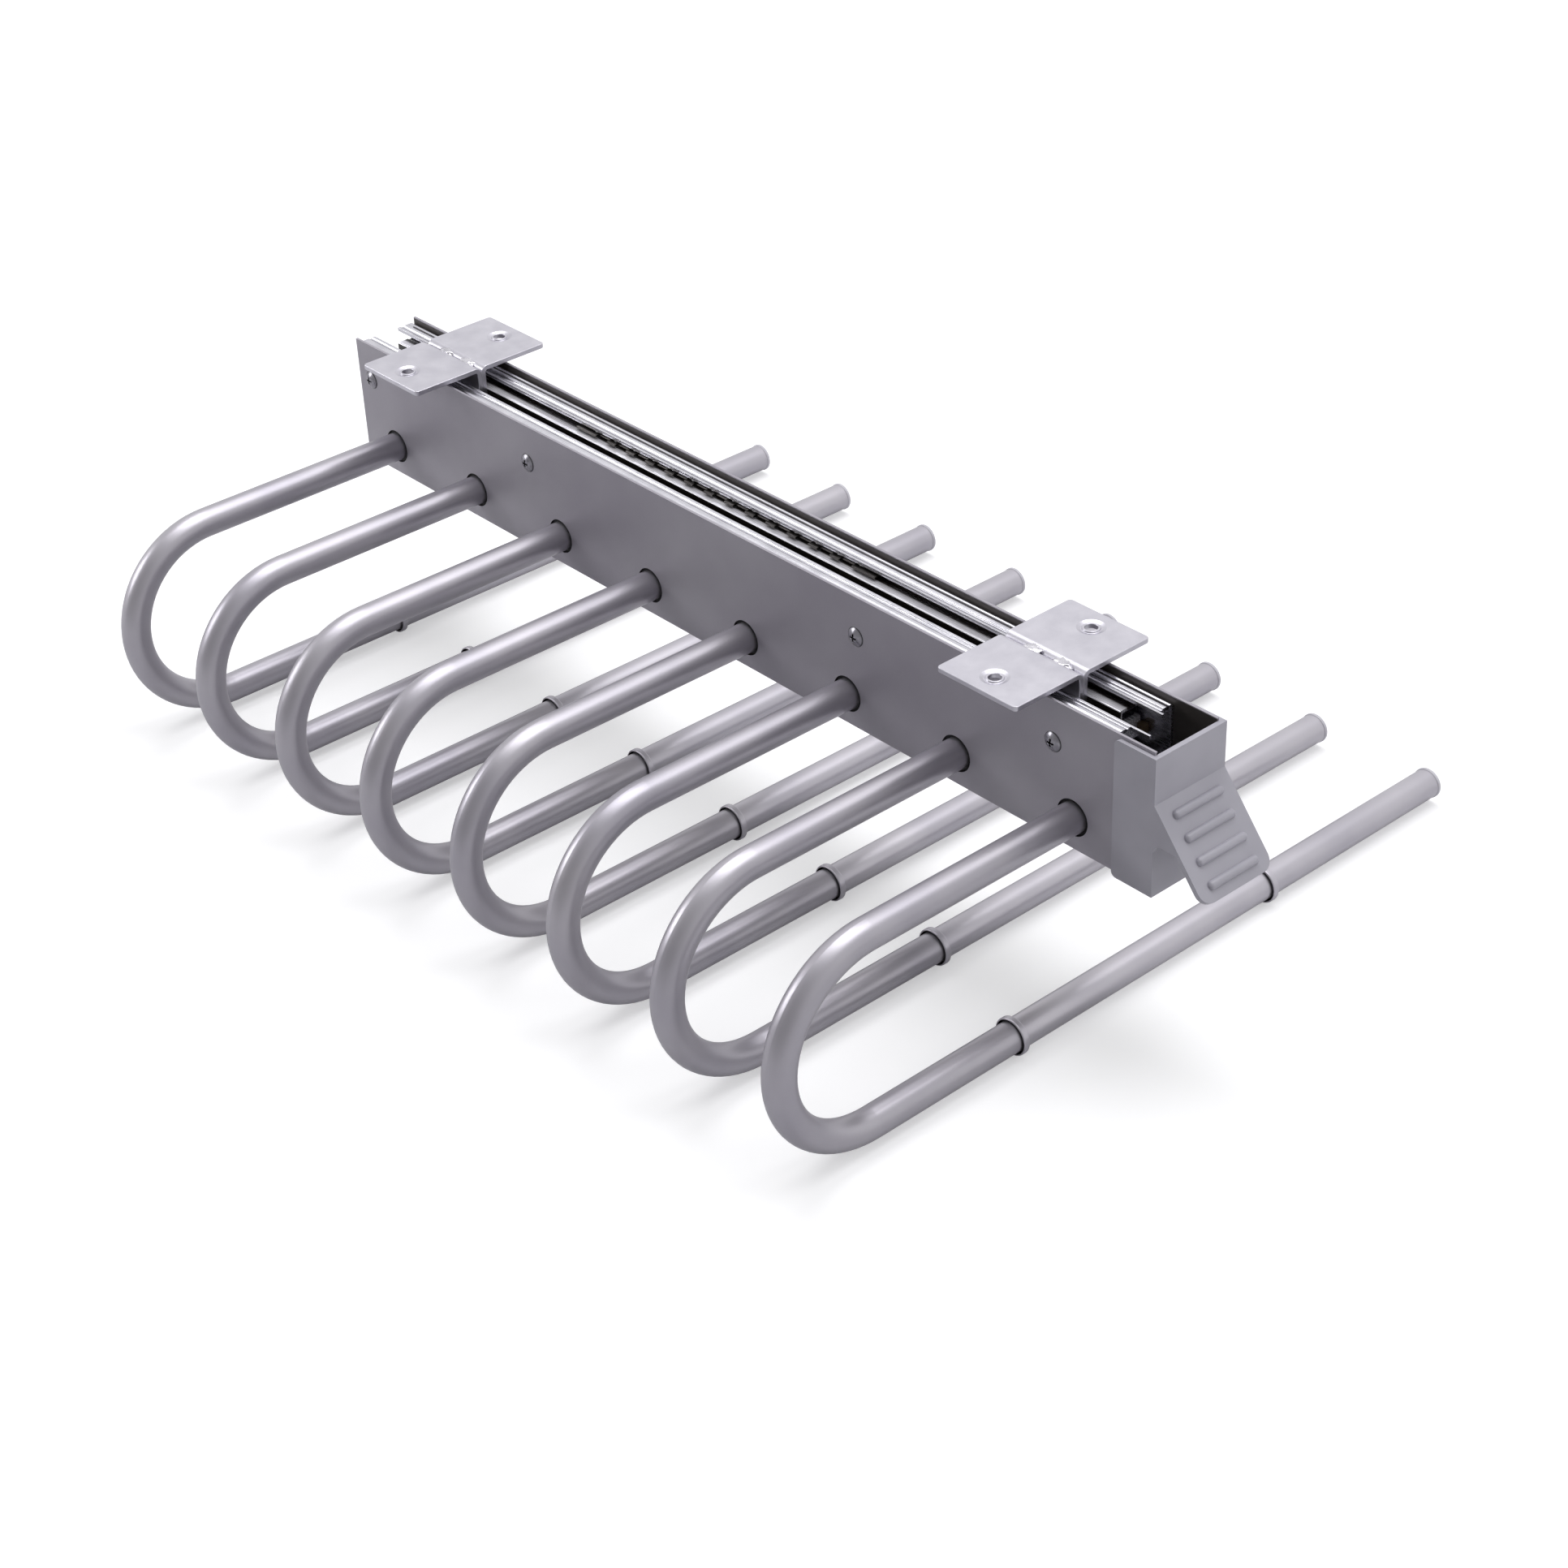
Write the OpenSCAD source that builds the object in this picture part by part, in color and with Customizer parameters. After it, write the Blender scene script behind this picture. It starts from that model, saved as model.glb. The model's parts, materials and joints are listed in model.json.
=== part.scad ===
// Pull-out trouser rack: eight bent arms on a channel that slides under a shelf on two ball-bearing slides.
// Millimetres. +X points to the arms' free ends, -Y to the pull, +Z up.
// The origin is the middle of the four screw holes, on top of the plates that meet the shelf.

/* [Channel] */
// Length of the folded channel
channel_length = 458; // [450:1:520]
// Outside width of the channel
channel_width = 31; // [30.6:0.2:36]
// Height of the channel
channel_height = 56.2; // [54:0.2:70]
// Thickness of the channel's sheet
channel_wall = 1; // [0.8:0.1:1.2]
// Outside radius of the channel's two lower folds
channel_fold = 1.4; // [1.3:0.1:3]
// Distance from the rear screw holes to the channel's rear end
rear_overhang = 50; // [45:1:55]
// Free gap between the plates and the channel's upper edges
plate_gap = 2; // [1:0.5:4]

/* [Brackets] */
// Distance between the screw holes across the rack
hole_spacing_x = 47; // [42:0.5:54]
// Distance between the front and rear screw holes
hole_spacing_y = 342; // [300:1:350]
// Reach of each plate from the middle of the rack
plate_reach = 32.7; // [32:0.1:40]
// Length of each plate along the channel
plate_length = 38; // [34:1:50]
// Thickness of the plates and webs
plate_thickness = 2; // [1.5:0.1:2.2]
// Radius of the plates' corners, seen from above
plate_corner = 1.5; // [1:0.5:5]
// Inside radius of the fold between plate and web
plate_fold = 1; // [0.5:0.1:1.5]
// Diameter of the screw holes
screw_hole_d = 4.8; // [4:0.1:5.4]
// Diameter of the raised lip round each screw hole
lip_d = 6.6; // [6:0.1:7.5]
// Diameter of the dish round each lip
dish_d = 10.6; // [9:0.2:12]
// Depth of the dish
dish_depth = 0.6; // [0.4:0.1:1]
// Diameter of the weld beads in the groove between the plates
bead_d = 1.2; // [0.8:0.1:1.6]
// Length of a weld bead
bead_length = 6; // [3:0.5:10]
// Distance of the weld beads from the bracket's middle
bead_offset = 9; // [7:0.5:13]

/* [Slides] */
// Depth of the slides' middle line under the channel's upper edges
slide_drop = 15.9; // [15.6:0.1:18]
// Height of the moving rails
moving_rail_height = 27.4; // [27:0.1:28.4]
// Reach of the moving rails' flanges from the channel's wall
moving_rail_depth = 8.5; // [8.4:0.1:9.5]
// Length of the moving rails
moving_rail_length = 439; // [430:1:440]
// Height of the fixed rails
fixed_rail_height = 19.6; // [19.4:0.1:20]
// Reach of the fixed rails' flanges from the web
fixed_rail_depth = 8.5; // [8:0.1:8.6]
// Length of the fixed rails
fixed_rail_length = 421; // [410:1:424]
// Distance between the rear ends of the fixed rails and the channel
fixed_rail_inset = 5; // [4:0.5:8]
// Thickness of the rails' steel
rail_thickness = 1.2; // [1:0.1:1.3]
// Distance of the balls' middle line from the middle of the rack
ball_line = 8.2; // [8:0.1:8.4]
// Diameter of the balls
ball_d = 3.2; // [3:0.1:3.3]
// Distance between neighbouring balls
ball_pitch = 12; // [8:0.5:20]
// Full travel of the rack
travel = 240; // [160:5:280]
// Diameter of the rivets through the rails and webs
rivet_d = 4; // [3:0.1:5]
// Distance of the rivets from the bracket's middle
rivet_offset = 12; // [8:0.5:14]

/* [Wall screws] */
// Depth of the screws under the channel's upper edges
wall_screw_drop = 16.6; // [14:0.1:18]
// Diameter of the screws through the channel's walls
wall_screw_d = 4; // [3:0.1:4.5]
// Diameter of their heads
wall_screw_head_d = 8; // [6.5:0.1:9]
// Height of their domed heads
wall_screw_head_h = 1.6; // [1.2:0.1:2.2]
// Distance from the channel's rear end to the last screw
rear_screw_inset = 8.5; // [8:0.5:10]
// Distance between the last two screws
rear_screw_step = 109.5; // [80:0.5:130]
// Distance from the channel's front end to the first screw
front_screw_inset = 46.2; // [42:0.2:60]
// Distance between the first two screws
front_screw_step = 98.8; // [80:0.2:110]

/* [Arms] */
// Distance between neighbouring arms
arm_pitch = 57; // [44:0.5:58]
// Distance from the cap's front face to the first arm
front_arm_inset = 38.5; // [36:0.5:42]
// Diameter of the arms' tube
tube_d = 12; // [11:0.1:12.4]
// Wall of the arms' tube
tube_wall = 1.2; // [0.8:0.1:1.4]
// Depth of the upper legs' axis under the channel's upper edges
upper_leg_drop = 43; // [42.5:0.1:44]
// Radius of the bend's centre line
bend_radius = 39.5; // [30:0.5:45]
// Distance of the bend's centre from the middle of the rack
bend_reach = 111.5; // [90:0.5:140]
// Distance of the lower legs' free ends from the middle of the rack
lower_leg_reach = 187; // [160:1:220]
// Diameter of the lower leg's neck inside the sleeves
neck_d = 10.4; // [9.4:0.1:10.6]
// Wall of the neck
neck_wall = 1; // [0.8:0.1:1.2]
// Place of the near sleeves' mouths, left of the middle
near_mouth = 28; // [10:1:60]
// Place of the front arm's near mouth, left of the middle
front_near_mouth = 45; // [10:1:70]
// Place of the far sleeves' mouths, right of the middle
far_mouth = 87; // [60:1:120]
// Outside diameter of the sleeves
sleeve_d = 12; // [11.8:0.1:12.6]
// Outside diameter of the rolled rim at a sleeve's mouth
rim_d = 14.9; // [14.6:0.1:16]
// Inside diameter of a sleeve's mouth
mouth_d = 13.7; // [12.8:0.1:13.9]
// Depth of a sleeve's mouth
mouth_depth = 1.8; // [1.4:0.1:3]
// Free gap between the end of a tube and the bottom of the mouth it enters
mouth_gap = 0.8; // [0.4:0.1:1.2]
// Diameter of the end plugs' lips
plug_d = 12.6; // [12.4:0.1:14.5]
// Length of the end plugs' lips
plug_lip = 1.6; // [1.2:0.1:4]
// Length of the end plugs' stems
plug_stem = 10; // [6:1:20]

/* [Bushes and arm screws] */
// Diameter of the holes in the channel's left wall
arm_hole_d = 14.2; // [13.4:0.1:14.6]
// Depth of the bushes' outer ends inside the holes
bush_recess = 0.6; // [0.3:0.1:0.7]
// Diameter of the bushes' inner flanges
bush_flange_d = 16.6; // [15.6:0.1:17]
// Thickness of the bushes' inner flanges
bush_flange_h = 1.5; // [1:0.1:2]
// Length of the threaded inserts in the tubes
insert_length = 12; // [8:0.5:16]
// Diameter of the screws that hold the tubes
arm_screw_d = 4; // [3:0.1:5]
// Diameter of their heads
arm_screw_head_d = 7.5; // [7:0.1:9]
// Height of their heads
arm_screw_head_h = 1.8; // [1.4:0.1:2.4]

/* [Cap and pull] */
// Thickness of the cap's sides
cap_side = 1.7; // [1.4:0.1:2.4]
// Thickness of the cap's front
cap_front = 2; // [1.8:0.1:2.4]
// Length of the cap from its front face to its rear edge
cap_length = 18.5; // [16:0.5:24]
// Depth of the cap's rim under the channel's upper edges
cap_rim_drop = 1.2; // [0.4:0.1:2]
// Radius of the cap's rear corners
cap_corner = 2.2; // [1:0.1:4]
// Depth of the pull's root under the channel's upper edges
pull_root_drop = 19.2; // [15:0.2:24]
// Tilt of the pull from upright, in degrees
pull_tilt = 39; // [38:1:39]
// Length of the pull's plate
pull_length = 37.5; // [36.5:0.5:44]
// Thickness of the pull's plate
pull_thickness = 2; // [1.6:0.1:2.4]
// Radius of the pull's lower corners
pull_corner = 5; // [2:0.5:8]
// Height of the side webs behind the pull
pull_web_h = 15.3; // [12:0.1:18]
// Radius where the side webs meet the cap
pull_web_fillet = 3.5; // [1:0.5:5]
// Length of a grip rib
rib_length = 22.5; // [16:0.5:28]
// Radius of a grip rib
rib_r = 1.5; // [0.8:0.1:1.6]
// Distance between grip ribs
rib_pitch = 8.7; // [6:0.1:8.8]
// Distance from the pull's root to the first rib
rib_inset = 6; // [5:0.1:8]
// Diameter of the screw that holds the cap
cap_screw_d = 3.5; // [3:0.1:4]
// Length of the cap's tongue inside the channel
tongue_length = 12; // [10:0.5:16]
// Height of the cap's tongue
tongue_h = 4; // [3:0.1:6]

/* [Clearances] */
// Radial gap round rivets, screws, inserts and plugs
fit = 0.05; // [0.02:0.01:0.1]
// Radial gap between neck and sleeve, and between tube and bush
slip = 0.1; // [0.05:0.01:0.15]
// Gap between each ball and its tracks
track_gap = 0.05; // [0.02:0.01:0.08]
// Gap between a ball and its hole in the cage
cage_gap = 0.1; // [0.05:0.01:0.2]
// Gap between the closed stop and the fixed rail
stop_gap = 0.3; // [0.2:0.1:1]
// Gap left at the cage's ends at full travel
cage_end_gap = 2; // [1:0.5:4]

/* [Hidden] */

$fn = 64;
arm_count = 8;
// Overlap that makes a cut pass right through
over = 0.5;

// Heights
channel_top = -plate_thickness - plate_gap;
channel_bottom = channel_top - channel_height;
slide_z = channel_top - slide_drop;
wall_screw_z = channel_top - wall_screw_drop;
upper_leg_z = channel_top - upper_leg_drop;
lower_leg_z = upper_leg_z - 2 * bend_radius;

// Places along the rack
bracket_y = hole_spacing_y / 2;
channel_rear = bracket_y + rear_overhang;
channel_front = channel_rear - channel_length;
cap_face = channel_front - cap_front;
front_arm_y = cap_face + front_arm_inset;
moving_rail_rear = channel_rear;
moving_rail_front = moving_rail_rear - moving_rail_length;
fixed_rail_rear = channel_rear - fixed_rail_inset;
fixed_rail_front = fixed_rail_rear - fixed_rail_length;
wall_screw_y = [
    channel_rear - rear_screw_inset,
    channel_rear - rear_screw_inset - rear_screw_step,
    channel_front + front_screw_inset + front_screw_step,
    channel_front + front_screw_inset
];

// Cross-section of the channel and slides, measured from the middle of the rack
outer_x = channel_width / 2;
inner_x = outer_x - channel_wall;
plate_fold_outer = plate_fold + plate_thickness;
moving_rail_half = moving_rail_height / 2;
fixed_rail_half = fixed_rail_height / 2;
moving_rail_web = inner_x - rail_thickness;
moving_rail_lip = inner_x - moving_rail_depth;
moving_flange = 1.4;
rail_corner = 2;
web_margin = 0.6;
web_bottom = slide_z - fixed_rail_half - web_margin;
web_corner = 3;
fixed_rail_corner = 0.5;
groove_r = 1.2;
groove_depth = 0.5;
track_r = ball_d / 2 + track_gap;
track_bite = 0.4;
ball_row = fixed_rail_half - track_bite + track_r;

// Stop tabs: the rear one is bent from the moving rail, the front one from the fixed rail
tab_length = 2;
tab_half = 4;
tab_inset = 2;
rear_tab_reach = 4.3;
front_tab_gap = 1;
rear_tab_y = moving_rail_rear - tab_length - tab_inset;
rear_tab_x = moving_rail_web - rear_tab_reach;
front_tab_rear = fixed_rail_front + tab_length;
front_tab_x = moving_rail_web - front_tab_gap;

// Ball cages
cage_front = front_tab_rear + travel / 2 + cage_end_gap;
cage_rear = rear_tab_y - travel / 2 - cage_end_gap;
cage_length = cage_rear - cage_front;
cage_strip = 0.8;
cage_web = 0.6;
cage_web_gap = 1.3;
cage_web_x = moving_rail_web - cage_web_gap;
cage_reach = 3.8;
cage_inner_x = ball_line - cage_reach;
cage_slot = [2, 7];
cage_margin = 8;
ball_count = floor((cage_length - 2 * cage_margin) / ball_pitch) + 1;
first_ball = (cage_front + cage_rear) / 2 - (ball_count - 1) * ball_pitch / 2;

// Front ends of the moving rails: the inner lips run on past the notched flanges
lip_width = 0.9;
lip_run = [8.5, 2.4];
bumper_length = 3;
bumper_half = 2;
bumper_reach = 3;
bumper_corner = 0.8;

// Screws and rivets
bead_gap = 0.01;
rivet_head_d = 1.7 * rivet_d;
rivet_head_h = 1;
screw_stand = 0.5;
recess_length = 3.2;
recess_width = 0.7;
recess_depth = 1;
cap_screw_head_h = 1.6;
head_taper = 1;
arm_screw_end = 2;
arm_socket_d = 0.7 * arm_screw_d;

// Arms and sleeves
shoulder_wall = 1.5;
mouth_base = 0.8;
rim_round = 0.5;
plug_round = 0.5;

// Cap
cap_x = outer_x + slip + cap_side;
cap_top = channel_top - cap_rim_drop;
rib_count = 4;
tongue_side_gap = 1;
tongue_roof = 1;
cap_screw_y = channel_front + tongue_length / 2;

function arm_y(index) = front_arm_y + (arm_count - index) * arm_pitch;
function near_mouth_x(index) = index == arm_count ? -front_near_mouth : -near_mouth;

// Placing helpers

// Turns a shape made along Z to run along X, and puts it on the axis of a leg
module on_leg(index, z, x) {
    translate([x, arm_y(index), z]) rotate([0, 90, 0]) children();
}

// Runs an outline drawn in X and Z along Y, from y_from to y_to
module run_along_y(y_from, y_to) {
    translate([0, y_to, 0]) rotate([90, 0, 0]) linear_extrude(height = y_to - y_from) children();
}

// A cylinder along X between two places
module rod_x(d, x_from, x_to) {
    translate([x_from, 0, 0]) rotate([0, 90, 0]) cylinder(d = d, h = x_to - x_from);
}

// Keeps the shape, which is drawn for the right side, or mirrors it to the left
module on_side(side) {
    if (side < 0) mirror([1, 0, 0]) children();
    else children();
}

// A rectangle with four round corners, from its low to its high corner
module rounded_rect(low, high, r) {
    translate([low.x + r, low.y]) square([high.x - low.x - 2 * r, high.y - low.y]);
    translate([low.x, low.y + r]) square([high.x - low.x, high.y - low.y - 2 * r]);
    for (x = [low.x + r, high.x - r])
        for (y = [low.y + r, high.y - r])
            translate([x, y]) circle(r = r);
}

// Brackets

module bracket_outline() {
    difference() {
        union() {
            translate([0, web_bottom]) square([plate_thickness, -web_bottom - plate_fold_outer]);
            translate([plate_fold_outer, -plate_thickness])
                square([plate_reach - plate_fold_outer, plate_thickness]);
            intersection() {
                translate([plate_fold_outer, -plate_fold_outer]) circle(r = plate_fold_outer);
                translate([0, -plate_fold_outer]) square(plate_fold_outer);
            }
        }
        translate([plate_fold_outer, -plate_fold_outer]) circle(r = plate_fold);
    }
}

module bracket_from_above() {
    rounded_rect([-plate_corner, -plate_length / 2], [plate_reach, plate_length / 2], plate_corner);
}

module bracket_from_side() {
    rounded_rect([-plate_length / 2, web_bottom], [plate_length / 2, web_corner], web_corner);
}

// Half section of the dish round a screw hole, outside the hole's own lip, which stays level with the plate
module dish_outline() {
    lip_r = lip_d / 2;
    dish_r = dish_d / 2;
    inner = [[lip_r, over], [lip_r, -dish_depth]];
    outer = [[lip_r + dish_depth, -dish_depth], [dish_r, 0], [dish_r, over]];
    polygon(concat(inner, outer));
}

module bracket(side, y) {
    color("#c2c0ca")
    translate([0, y, 0])
    on_side(side)
    difference() {
        intersection() {
            run_along_y(-plate_length / 2, plate_length / 2) bracket_outline();
            translate([0, 0, web_bottom - over]) linear_extrude(height = 2 * over - web_bottom)
                bracket_from_above();
            translate([-over, 0, 0]) rotate([90, 0, 90]) linear_extrude(height = plate_reach + 2 * over)
                bracket_from_side();
        }
        translate([hole_spacing_x / 2, 0, 0]) {
            translate([0, 0, -plate_thickness - over])
                cylinder(d = screw_hole_d, h = plate_thickness + 2 * over);
            rotate_extrude() dish_outline();
        }
        for (offset_y = [-rivet_offset, rivet_offset])
            translate([0, offset_y, slide_z]) rod_x(rivet_d + 2 * fit, -over, plate_thickness + over);
    }
}

// The beads lie in the groove, just touching both folds
module bracket_welds() {
    bead_r = bead_d / 2;
    seat = plate_fold_outer - sqrt(pow(plate_fold_outer + bead_r, 2) - pow(plate_fold_outer, 2));
    color("#d4d2da")
    for (y = [-bracket_y, bracket_y])
        for (offset_y = [-bead_offset, bead_offset])
            translate([0, y + offset_y - bead_length / 2, -seat])
                rotate([-90, 0, 0]) cylinder(r = bead_r - bead_gap, h = bead_length);
}

// Slides

module fixed_rail_outline() {
    difference() {
        rounded_rect([plate_thickness, -fixed_rail_half],
            [plate_thickness + fixed_rail_depth, fixed_rail_half], fixed_rail_corner);
        translate([plate_thickness + rail_thickness, rail_thickness - fixed_rail_half])
            square([fixed_rail_depth, fixed_rail_height - 2 * rail_thickness]);
        for (row = [-ball_row, ball_row])
            translate([ball_line, row]) circle(r = track_r);
    }
}

module fixed_rail(side) {
    color("#d9d8de")
    on_side(side)
    difference() {
        union() {
            translate([0, 0, slide_z]) run_along_y(fixed_rail_front, fixed_rail_rear) fixed_rail_outline();
            translate([plate_thickness + rail_thickness / 2, fixed_rail_front, slide_z - tab_half])
                cube([front_tab_x - plate_thickness - rail_thickness / 2, tab_length, 2 * tab_half]);
        }
        for (y = [-bracket_y, bracket_y])
            for (offset_y = [-rivet_offset, rivet_offset])
                translate([0, y + offset_y, slide_z])
                    rod_x(rivet_d + 2 * fit, plate_thickness - over, plate_thickness + rail_thickness + over);
    }
}

module rail_rivets() {
    head_x = plate_thickness + rail_thickness;
    color("#cfcdd4")
    for (y = [-bracket_y, bracket_y])
        for (offset_y = [-rivet_offset, rivet_offset])
            translate([0, y + offset_y, slide_z]) {
                rod_x(rivet_d, -head_x, head_x);
                rod_x(rivet_head_d, head_x, head_x + rivet_head_h);
                rod_x(rivet_head_d, -head_x - rivet_head_h, -head_x);
            }
}

module moving_rail_outline() {
    inside = moving_rail_half - moving_flange;
    difference() {
        union() {
            rounded_rect([inner_x - 3 * rail_corner, -moving_rail_half],
                [inner_x, moving_rail_half], rail_corner);
            translate([moving_rail_lip, -moving_rail_half])
                square([moving_rail_depth - rail_corner, moving_rail_height]);
        }
        translate([moving_rail_lip - over, -inside])
            square([moving_rail_web - moving_rail_lip + over, 2 * inside]);
        for (row = [-1, 1]) {
            translate([ball_line, row * ball_row]) circle(r = track_r);
            translate([ball_line, row * (moving_rail_half + groove_r - groove_depth)]) circle(r = groove_r);
        }
    }
}

// The flanges' inner lips, run on past the notch
module moving_rail_lips() {
    intersection() {
        moving_rail_outline();
        translate([moving_rail_lip, -moving_rail_half]) square([lip_width, moving_rail_height]);
    }
}

module moving_rail(side) {
    run = side < 0 ? lip_run[0] : lip_run[1];
    color("#dcdbe1")
    on_side(side)
    difference() {
        translate([0, 0, slide_z]) {
            run_along_y(moving_rail_front, moving_rail_rear) moving_rail_outline();
            run_along_y(moving_rail_front - run, moving_rail_front) moving_rail_lips();
            translate([rear_tab_x, rear_tab_y, -tab_half])
                cube([moving_rail_web + rail_thickness / 2 - rear_tab_x, tab_length, 2 * tab_half]);
        }
        for (y = wall_screw_y)
            translate([0, y, wall_screw_z])
                rod_x(wall_screw_d + 2 * fit, moving_rail_web - over, inner_x + over);
    }
}

// Soft closed stops in the moving rails' front ends
module rail_bumpers() {
    rear = fixed_rail_front - stop_gap;
    color("#4a3a24")
    for (side = [-1, 1])
        on_side(side)
            translate([0, 0, slide_z]) run_along_y(rear - bumper_length, rear)
                rounded_rect([moving_rail_web - bumper_reach, -bumper_half], [moving_rail_web, bumper_half],
                    bumper_corner);
}

module ball_cage(side) {
    color("#bab7b3")
    on_side(side)
    difference() {
        union() {
            translate([cage_web_x - cage_web, cage_front, slide_z - ball_row - cage_strip / 2])
                cube([cage_web, cage_length, 2 * ball_row + cage_strip]);
            for (row = [-ball_row, ball_row])
                translate([cage_inner_x, cage_front, slide_z + row - cage_strip / 2])
                    cube([cage_web_x - cage_inner_x, cage_length, cage_strip]);
        }
        for (index = [0 : ball_count - 1])
            for (row = [-ball_row, ball_row])
                translate([ball_line, first_ball + index * ball_pitch, slide_z + row - cage_strip])
                    cylinder(r = ball_d / 2 + cage_gap, h = 2 * cage_strip);
        for (index = [0 : ball_count - 2])
            for (row = [-ball_row, ball_row])
                translate([cage_inner_x - over, first_ball + (index + 0.5) * ball_pitch - cage_slot.y / 2,
                        slide_z + row - cage_strip])
                    cube([cage_slot.x + over, cage_slot.y, 2 * cage_strip]);
    }
}

module balls(side) {
    color("#e6e6ea")
    on_side(side)
        for (index = [0 : ball_count - 1])
            for (row = [-ball_row, ball_row])
                translate([ball_line, first_ball + index * ball_pitch, slide_z + row])
                    sphere(d = ball_d, $fn = 24);
}

// Channel

module channel_outline() {
    inner_fold = channel_fold - channel_wall;
    difference() {
        union() {
            rounded_rect([-outer_x, channel_bottom], [outer_x, channel_top - channel_fold], channel_fold);
            translate([-outer_x, channel_top - 3 * channel_fold]) square([channel_width, 3 * channel_fold]);
        }
        rounded_rect([-inner_x, channel_bottom + channel_wall], [inner_x, channel_top - over], inner_fold);
        translate([-inner_x, channel_top - 2 * over]) square([2 * inner_x, 3 * over]);
    }
}

module channel() {
    color("#8f8d94")
    difference() {
        run_along_y(channel_front, channel_rear) channel_outline();
        for (index = [1 : arm_count])
            translate([0, arm_y(index), upper_leg_z]) {
                rod_x(arm_hole_d, -outer_x - over, -inner_x + over);
                rod_x(arm_screw_d + 2 * fit, inner_x - over, outer_x + over);
            }
        for (y = wall_screw_y)
            for (x = [-outer_x - over, inner_x - over])
                translate([0, y, wall_screw_z])
                    rod_x(wall_screw_d + 2 * fit, x, x + channel_wall + 2 * over);
        translate([0, cap_screw_y, channel_bottom - over])
            cylinder(d = cap_screw_d + 2 * fit, h = channel_wall + 2 * over);
    }
}

// Half section of a domed screw head, seat at zero
module dome_outline() {
    head_r = wall_screw_head_d / 2;
    dome_r = (head_r * head_r + wall_screw_head_h * wall_screw_head_h) / (2 * wall_screw_head_h);
    intersection() {
        translate([0, wall_screw_head_h - dome_r]) circle(r = dome_r);
        square([head_r, wall_screw_head_h]);
    }
}

// Domed screws with a cross recess, through the wall and into the rail
module wall_screw(y) {
    translate([0, y, wall_screw_z])
    difference() {
        union() {
            rod_x(wall_screw_d, moving_rail_web - screw_stand, outer_x + over);
            translate([outer_x, 0, 0]) rotate([0, 90, 0]) rotate_extrude() dome_outline();
        }
        translate([outer_x + wall_screw_head_h - recess_depth, 0, 0]) {
            translate([0, -recess_length / 2, -recess_width / 2])
                cube([recess_depth + over, recess_length, recess_width]);
            translate([0, -recess_width / 2, -recess_length / 2])
                cube([recess_depth + over, recess_width, recess_length]);
        }
    }
}

module wall_screws(side) {
    color("#8f8d94")
    on_side(side)
        for (y = wall_screw_y) wall_screw(y);
}

// Cap with its pull, in one moulding

// Leads to the pull's own frame: origin on the root line, the plate hanging down its -Z
module on_pull() {
    translate([0, cap_face, channel_top - pull_root_drop]) rotate([-pull_tilt, 0, 0]) children();
}

module pull_outline() {
    difference() {
        rounded_rect([-cap_x, -pull_length], [cap_x, pull_corner], pull_corner);
        translate([-cap_x - over, 0]) square([2 * cap_x + 2 * over, pull_corner + over]);
    }
}

module cap_side_outline() {
    low = [cap_face, channel_bottom];
    rear = cap_face + cap_length;
    rounded_rect([rear - 3 * cap_corner, low.y], [rear, cap_top], cap_corner);
    translate(low) square([cap_length - 2 * cap_corner, cap_top - low.y]);
}

module pull_web_outline() {
    root = [cap_face, channel_top - pull_root_drop];
    run = pull_web_h * tan(pull_tilt);
    translate(root) {
        polygon([[0, 0], [-run, -pull_web_h], [over, -pull_web_h], [over, 0]]);
        difference() {
            translate([-pull_web_fillet, -pull_web_h - pull_web_fillet])
                square([pull_web_fillet + over, pull_web_fillet + over]);
            translate([-pull_web_fillet, -pull_web_h - pull_web_fillet]) circle(r = pull_web_fillet);
        }
    }
}

module end_cap() {
    tongue_x = inner_x - tongue_side_gap;
    color("#9c9aa4")
    difference() {
        union() {
            for (side = [-1, 1])
                on_side(side)
                    translate([cap_x - cap_side, 0, 0]) rotate([90, 0, 90]) linear_extrude(height = cap_side) {
                        cap_side_outline();
                        pull_web_outline();
                    }
            translate([-cap_x, cap_face, channel_bottom])
                cube([2 * cap_x, cap_front, cap_top - channel_bottom]);
            translate([-tongue_x, cap_face + cap_front / 2, channel_bottom + channel_wall + slip])
                cube([2 * tongue_x, tongue_length + cap_front / 2, tongue_h]);
            on_pull() {
                translate([0, pull_thickness, 0]) rotate([90, 0, 0]) linear_extrude(height = pull_thickness)
                    pull_outline();
                for (index = [0 : rib_count - 1])
                    translate([0, 0, -rib_inset - index * rib_pitch])
                        rod_x(2 * rib_r, -rib_length / 2, rib_length / 2);
            }
        }
        translate([0, cap_screw_y, channel_bottom])
            cylinder(d = cap_screw_d + 2 * fit, h = channel_wall + slip + tongue_h - tongue_roof);
    }
}

module cap_screw() {
    head_d = 2 * cap_screw_d;
    color("#b4b2b9")
    translate([0, cap_screw_y, channel_bottom - cap_screw_head_h]) {
        cylinder(d = cap_screw_d, h = cap_screw_head_h + channel_wall + tongue_h - tongue_roof - screw_stand);
        cylinder(d1 = head_d - head_taper, d2 = head_d, h = cap_screw_head_h);
    }
}

// Arms

module bend_arc() {
    rotate([90, 0, 0]) rotate([0, 0, 90]) rotate_extrude(angle = 180)
        translate([bend_radius, 0]) circle(d = tube_d);
}

module bend_arc_bore() {
    rotate([90, 0, 0]) rotate([0, 0, 90]) rotate_extrude(angle = 180)
        translate([bend_radius, 0]) circle(d = tube_d - 2 * tube_wall);
}

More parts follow.
